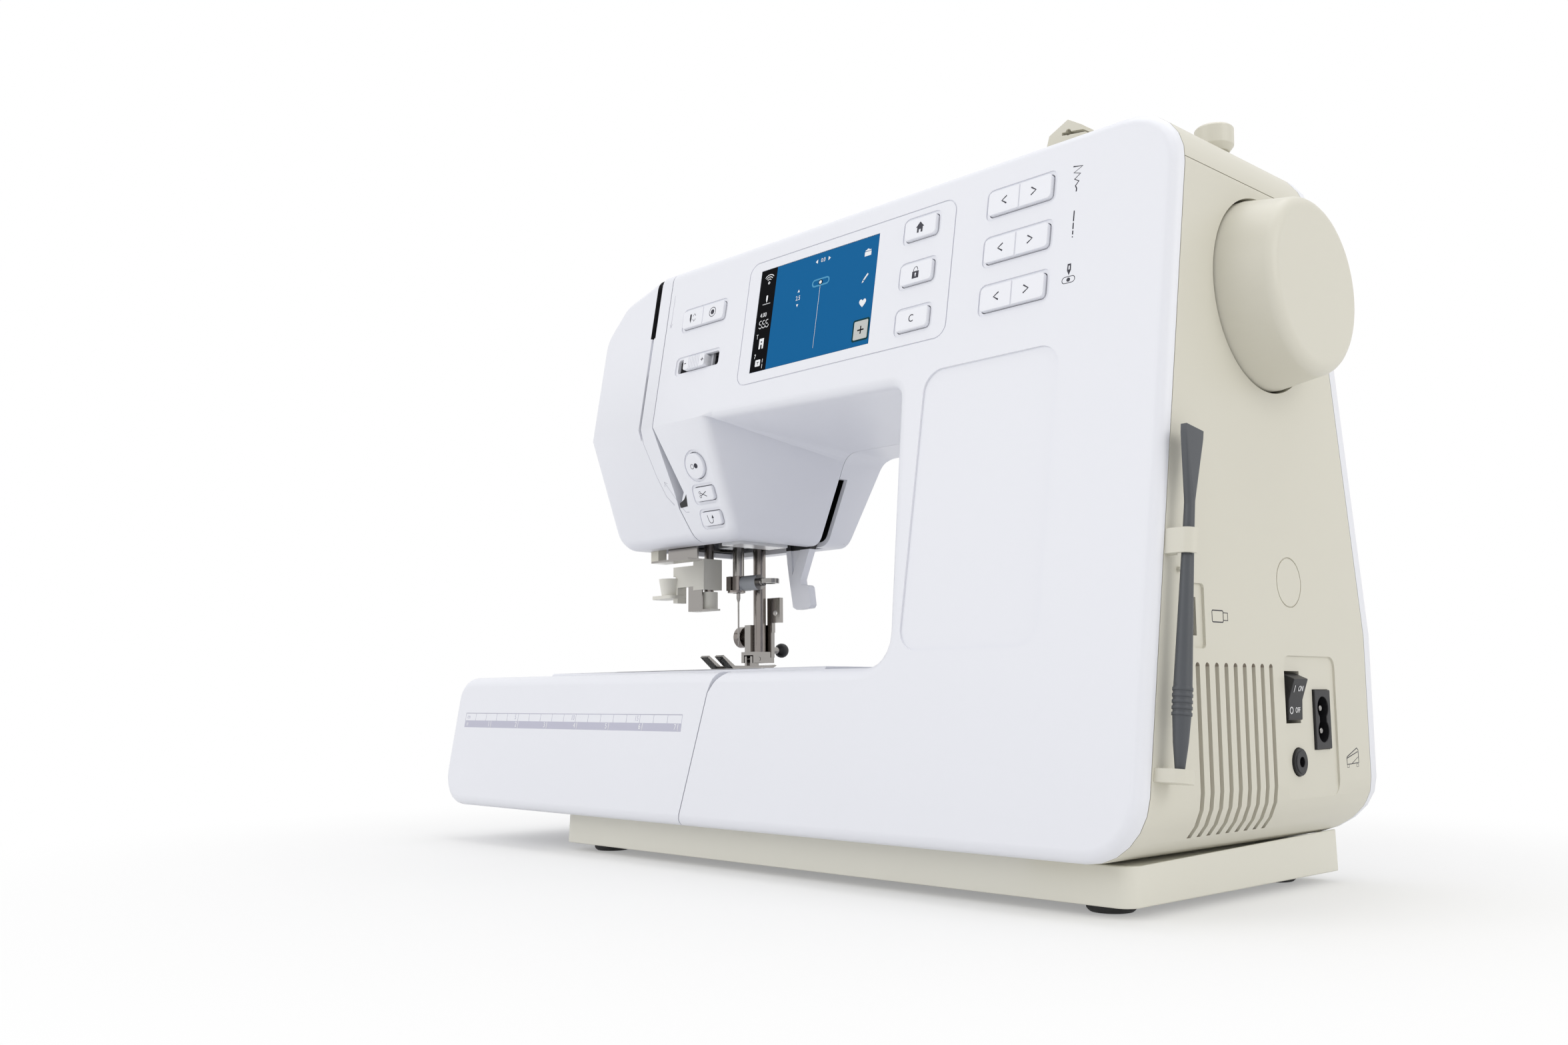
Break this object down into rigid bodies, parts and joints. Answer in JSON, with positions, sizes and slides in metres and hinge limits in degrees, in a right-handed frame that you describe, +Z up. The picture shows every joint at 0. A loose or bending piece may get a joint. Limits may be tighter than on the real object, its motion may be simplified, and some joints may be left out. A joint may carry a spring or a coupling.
{
  "type": "electronic sewing machine",
  "caption": "Free-arm household sewing machine with a leaning front, blue display, rocker keys, pull-out accessory box, clip-on touch pen and a fold-down carry handle.",
  "frame": {"origin": "on the table, under the middle of the whole machine", "axes": "+X to the right along the machine (towards the handwheel), +Y from the sewer towards the back, +Z up; the front faces -Y"},
  "size_m": [0.446, 0.1701, 0.2972],
  "materials": {
    "casing_white": "smooth cool white moulded plastic, satin gloss",
    "cream_plastic": "smooth warm cream moulded plastic, satin gloss",
    "key_plastic": "smooth off-white moulded plastic",
    "display_glass": "blue backlit panel behind clear acrylic",
    "dark_plastic": "black fine-textured plastic",
    "stylus_grey": "dark grey moulded plastic",
    "beige_plastic": "beige moulded plastic",
    "clear_lens": "clear lens",
    "rubber": "dark soft rubber",
    "steel": "brushed steel",
    "polished_steel": "polished steel",
    "hook_plastic": "black low-friction plastic",
    "cast_aluminium": "as-cast aluminium",
    "board_green": "green circuit board laminate",
    "grey_plastic": "mid grey moulded plastic"
  },
  "bodies": {
    "machine": {"base_plinth": "cream_plastic", "feet": "rubber", "front_casing": "casing_white", "rear_casing": "casing_white", "top_cover": "cream_plastic", "side_cover": "cream_plastic", "face_cover": "casing_white", "machine_frame": "cast_aluminium", "free_arm": "casing_white", "needle_plate": "steel", "screen_glass": "display_glass", "led_lens": "clear_lens", "thread_guides": "polished_steel", "power_inlet": "dark_plastic", "foot_control_jack": "dark_plastic", "stylus_clips": "cream_plastic", "main_motor": "steel", "circuit_boards": "board_green", "bobbin_case": "hook_plastic", "timing_belts": "rubber", "spool_pin": "cream_plastic", "winder_stop": "cream_plastic", "pretension_guide": "cream_plastic"},
    "main_drive": {"handwheel": "cream_plastic", "main_shaft": "steel"},
    "crank_rod": {"crank_rod": "cast_aluminium"},
    "motor_drive": {"motor_pulley": "steel"},
    "lower_drive": {"lower_shaft": "steel"},
    "hook": {"rotary_hook": "steel"},
    "bobbin": {"bobbin": "clear_lens"},
    "bobbin_cover": {"bobbin_cover": "clear_lens"},
    "swing_frame": {"swing_frame": "cast_aluminium"},
    "needle_bar": {"needle_bar": "polished_steel", "needle_clamp": "grey_plastic", "needle": "polished_steel"},
    "threader": {"needle_threader": "beige_plastic"},
    "take_up": {"take_up_lever": "polished_steel"},
    "presser_bar": {"presser_bar": "polished_steel", "foot_shank": "steel"},
    "presser_foot": {"presser_foot": "polished_steel"},
    "presser_lever": {"presser_lever": "casing_white"},
    "feed_bar": {"feed_bar": "cast_aluminium"},
    "feed_dog": {"feed_dog": "steel"},
    "accessory_box": {"accessory_box": "casing_white"},
    "speed_slider": {"speed_slider": "key_plastic"},
    "power_rocker": {"power_rocker": "dark_plastic"},
    "stylus": {"stylus": "stylus_grey"},
    "carry_handle": {"carry_handle": "cream_plastic"},
    "spool_cap": {"spool_cap": "cream_plastic"},
    "winder_spindle": {"winder_spindle": "steel"},
    "home_key": {"home_key": "key_plastic"},
    "lock_key": {"lock_key": "key_plastic"},
    "clear_key": {"clear_key": "key_plastic"},
    "width_key": {"width_key": "key_plastic"},
    "length_key": {"length_key": "key_plastic"},
    "position_key": {"position_key": "key_plastic"},
    "needle_key": {"needle_key": "key_plastic"},
    "start_key": {"start_key": "key_plastic"},
    "cut_key": {"cut_key": "key_plastic"},
    "reverse_key": {"reverse_key": "key_plastic"}
  },
  "joints": [
    {"name": "main_spin", "type": "hinge", "parent": "machine", "child": "main_drive", "pos_m": [0, 0.013, 0.221], "axis": [1, 0, 0], "continuous": true},
    {"name": "crank_spin", "type": "hinge", "parent": "main_drive", "child": "crank_rod", "pos_m": [-0.088, 0.013, 0.236], "axis": [1, 0, 0], "continuous": true},
    {"name": "motor_spin", "type": "hinge", "parent": "machine", "child": "motor_drive", "pos_m": [0.17, 0.008, 0.052], "axis": [1, 0, 0], "continuous": true},
    {"name": "lower_spin", "type": "hinge", "parent": "machine", "child": "lower_drive", "pos_m": [0, 0.0098, 0.056], "axis": [1, 0, 0], "continuous": true},
    {"name": "hook_spin", "type": "hinge", "parent": "machine", "child": "hook", "pos_m": [-0.094, -0.005, 0.06], "axis": [0, 0, 1], "continuous": true},
    {"name": "bobbin_spin", "type": "hinge", "parent": "machine", "child": "bobbin", "pos_m": [-0.094, -0.005, 0.073], "axis": [0, 0, 1], "continuous": true},
    {"name": "bobbin_cover_tilt", "type": "hinge", "parent": "machine", "child": "bobbin_cover", "pos_m": [-0.094, 0.0027, 0.086], "axis": [-1, 0, 0], "range_deg": [0, 28]},
    {"name": "needle_swing", "type": "hinge", "parent": "machine", "child": "swing_frame", "pos_m": [-0.1045, 0.013, 0.262], "axis": [0, 1, 0], "range_deg": [-1.2, 1.2]},
    {"name": "needle_slide", "type": "slide", "parent": "swing_frame", "child": "needle_bar", "axis": [0, 0, -1], "range_m": [0, 0.03]},
    {"name": "threader_slide", "type": "slide", "parent": "machine", "child": "threader", "axis": [0, 0, -1], "range_m": [0, 0.016], "stiffness_N_per_m": 40, "springref_m": -0.02},
    {"name": "take_up_swing", "type": "hinge", "parent": "machine", "child": "take_up", "pos_m": [-0.0936, -0.0055, 0.2375], "axis": [1, 0, 0], "range_deg": [0, 24]},
    {"name": "presser_slide", "type": "slide", "parent": "machine", "child": "presser_bar", "axis": [0, 0, 1], "range_m": [0, 0.0065]},
    {"name": "presser_lever_turn", "type": "hinge", "parent": "machine", "child": "presser_lever", "pos_m": [-0.066, 0.0237, 0.172], "axis": [0, -1, 0], "range_deg": [0, 70]},
    {"name": "foot_tilt", "type": "hinge", "parent": "presser_bar", "child": "presser_foot", "pos_m": [-0.094, 0.0214, 0.0922], "axis": [-1, 0, 0], "range_deg": [0, 4]},
    {"name": "feed_advance", "type": "slide", "parent": "machine", "child": "feed_bar", "axis": [0, 1, 0], "range_m": [0, 0.003]},
    {"name": "feed_lift", "type": "slide", "parent": "feed_bar", "child": "feed_dog", "axis": [0, 0, 1], "range_m": [0, 0.0012]},
    {"name": "accessory_box_pull", "type": "slide", "parent": "machine", "child": "accessory_box", "axis": [-1, 0, 0], "range_m": [0, 0.17]},
    {"name": "speed_slide", "type": "slide", "parent": "machine", "child": "speed_slider", "axis": [1, 0, 0], "range_m": [-0.006, 0.008]},
    {"name": "power_rocker_tip", "type": "hinge", "parent": "machine", "child": "power_rocker", "pos_m": [0.199, 0.021, 0.0714], "axis": [0, -1, 0], "range_deg": [0, 18]},
    {"name": "stylus_tilt", "type": "hinge", "parent": "machine", "child": "stylus", "pos_m": [0.2084, -0.0702, 0.046], "axis": [-1, 0, 0], "range_deg": [0, 15]},
    {"name": "carry_handle_swing", "type": "hinge", "parent": "machine", "child": "carry_handle", "pos_m": [0.023, 0.0345, 0.277], "axis": [-1, 0, 0], "range_deg": [0, 90]},
    {"name": "spool_cap_slide", "type": "slide", "parent": "machine", "child": "spool_cap", "axis": [1, 0, 0], "range_m": [0, 0.008]},
    {"name": "winder_spin", "type": "hinge", "parent": "machine", "child": "winder_spindle", "pos_m": [0.152, 0.018, 0.29], "axis": [0, 0, 1], "continuous": true},
    {"name": "home_press", "type": "slide", "parent": "machine", "child": "home_key", "axis": [0, 0.9859, -0.1676], "range_m": [0, 0.001], "stiffness_N_per_m": 300},
    {"name": "lock_press", "type": "slide", "parent": "machine", "child": "lock_key", "axis": [0, 0.9859, -0.1676], "range_m": [0, 0.001], "stiffness_N_per_m": 300},
    {"name": "clear_press", "type": "slide", "parent": "machine", "child": "clear_key", "axis": [0, 0.9859, -0.1676], "range_m": [0, 0.001], "stiffness_N_per_m": 300},
    {"name": "start_press", "type": "slide", "parent": "machine", "child": "start_key", "axis": [0, 0.9409, 0.3387], "range_m": [0, 0.001], "stiffness_N_per_m": 300},
    {"name": "cut_press", "type": "slide", "parent": "machine", "child": "cut_key", "axis": [0, 0.9409, 0.3387], "range_m": [0, 0.001], "stiffness_N_per_m": 300},
    {"name": "reverse_press", "type": "slide", "parent": "machine", "child": "reverse_key", "axis": [0, 0.9409, 0.3387], "range_m": [0, 0.001], "stiffness_N_per_m": 300},
    {"name": "width_rock", "type": "hinge", "parent": "machine", "child": "width_key", "pos_m": [0.1334, -0.0438, 0.2644], "axis": [0, 0.1676, 0.9859], "range_deg": [-3, 3], "stiffness_Nm_per_rad": 0.05},
    {"name": "length_rock", "type": "hinge", "parent": "machine", "child": "length_key", "pos_m": [0.1334, -0.04719, 0.2445], "axis": [0, 0.1676, 0.9859], "range_deg": [-3, 3], "stiffness_Nm_per_rad": 0.05},
    {"name": "position_rock", "type": "hinge", "parent": "machine", "child": "position_key", "pos_m": [0.1334, -0.0506, 0.2244], "axis": [0, 0.1676, 0.9859], "range_deg": [-3, 3], "stiffness_Nm_per_rad": 0.05},
    {"name": "needle_rock", "type": "hinge", "parent": "machine", "child": "needle_key", "pos_m": [-0.0543, -0.0454, 0.255], "axis": [0, 0.1676, 0.9859], "range_deg": [-3, 3], "stiffness_Nm_per_rad": 0.05}
  ],
  "couplings": [
    {"joint": "crank_spin", "follows": "main_spin", "ratio": -1},
    {"joint": "motor_spin", "follows": "main_spin", "ratio": 3.25},
    {"joint": "lower_spin", "follows": "main_spin", "ratio": 2},
    {"joint": "hook_spin", "follows": "main_spin", "ratio": 2},
    {"joint": "presser_lever_turn", "follows": "presser_slide", "rad_per_m": 187}
  ]
}
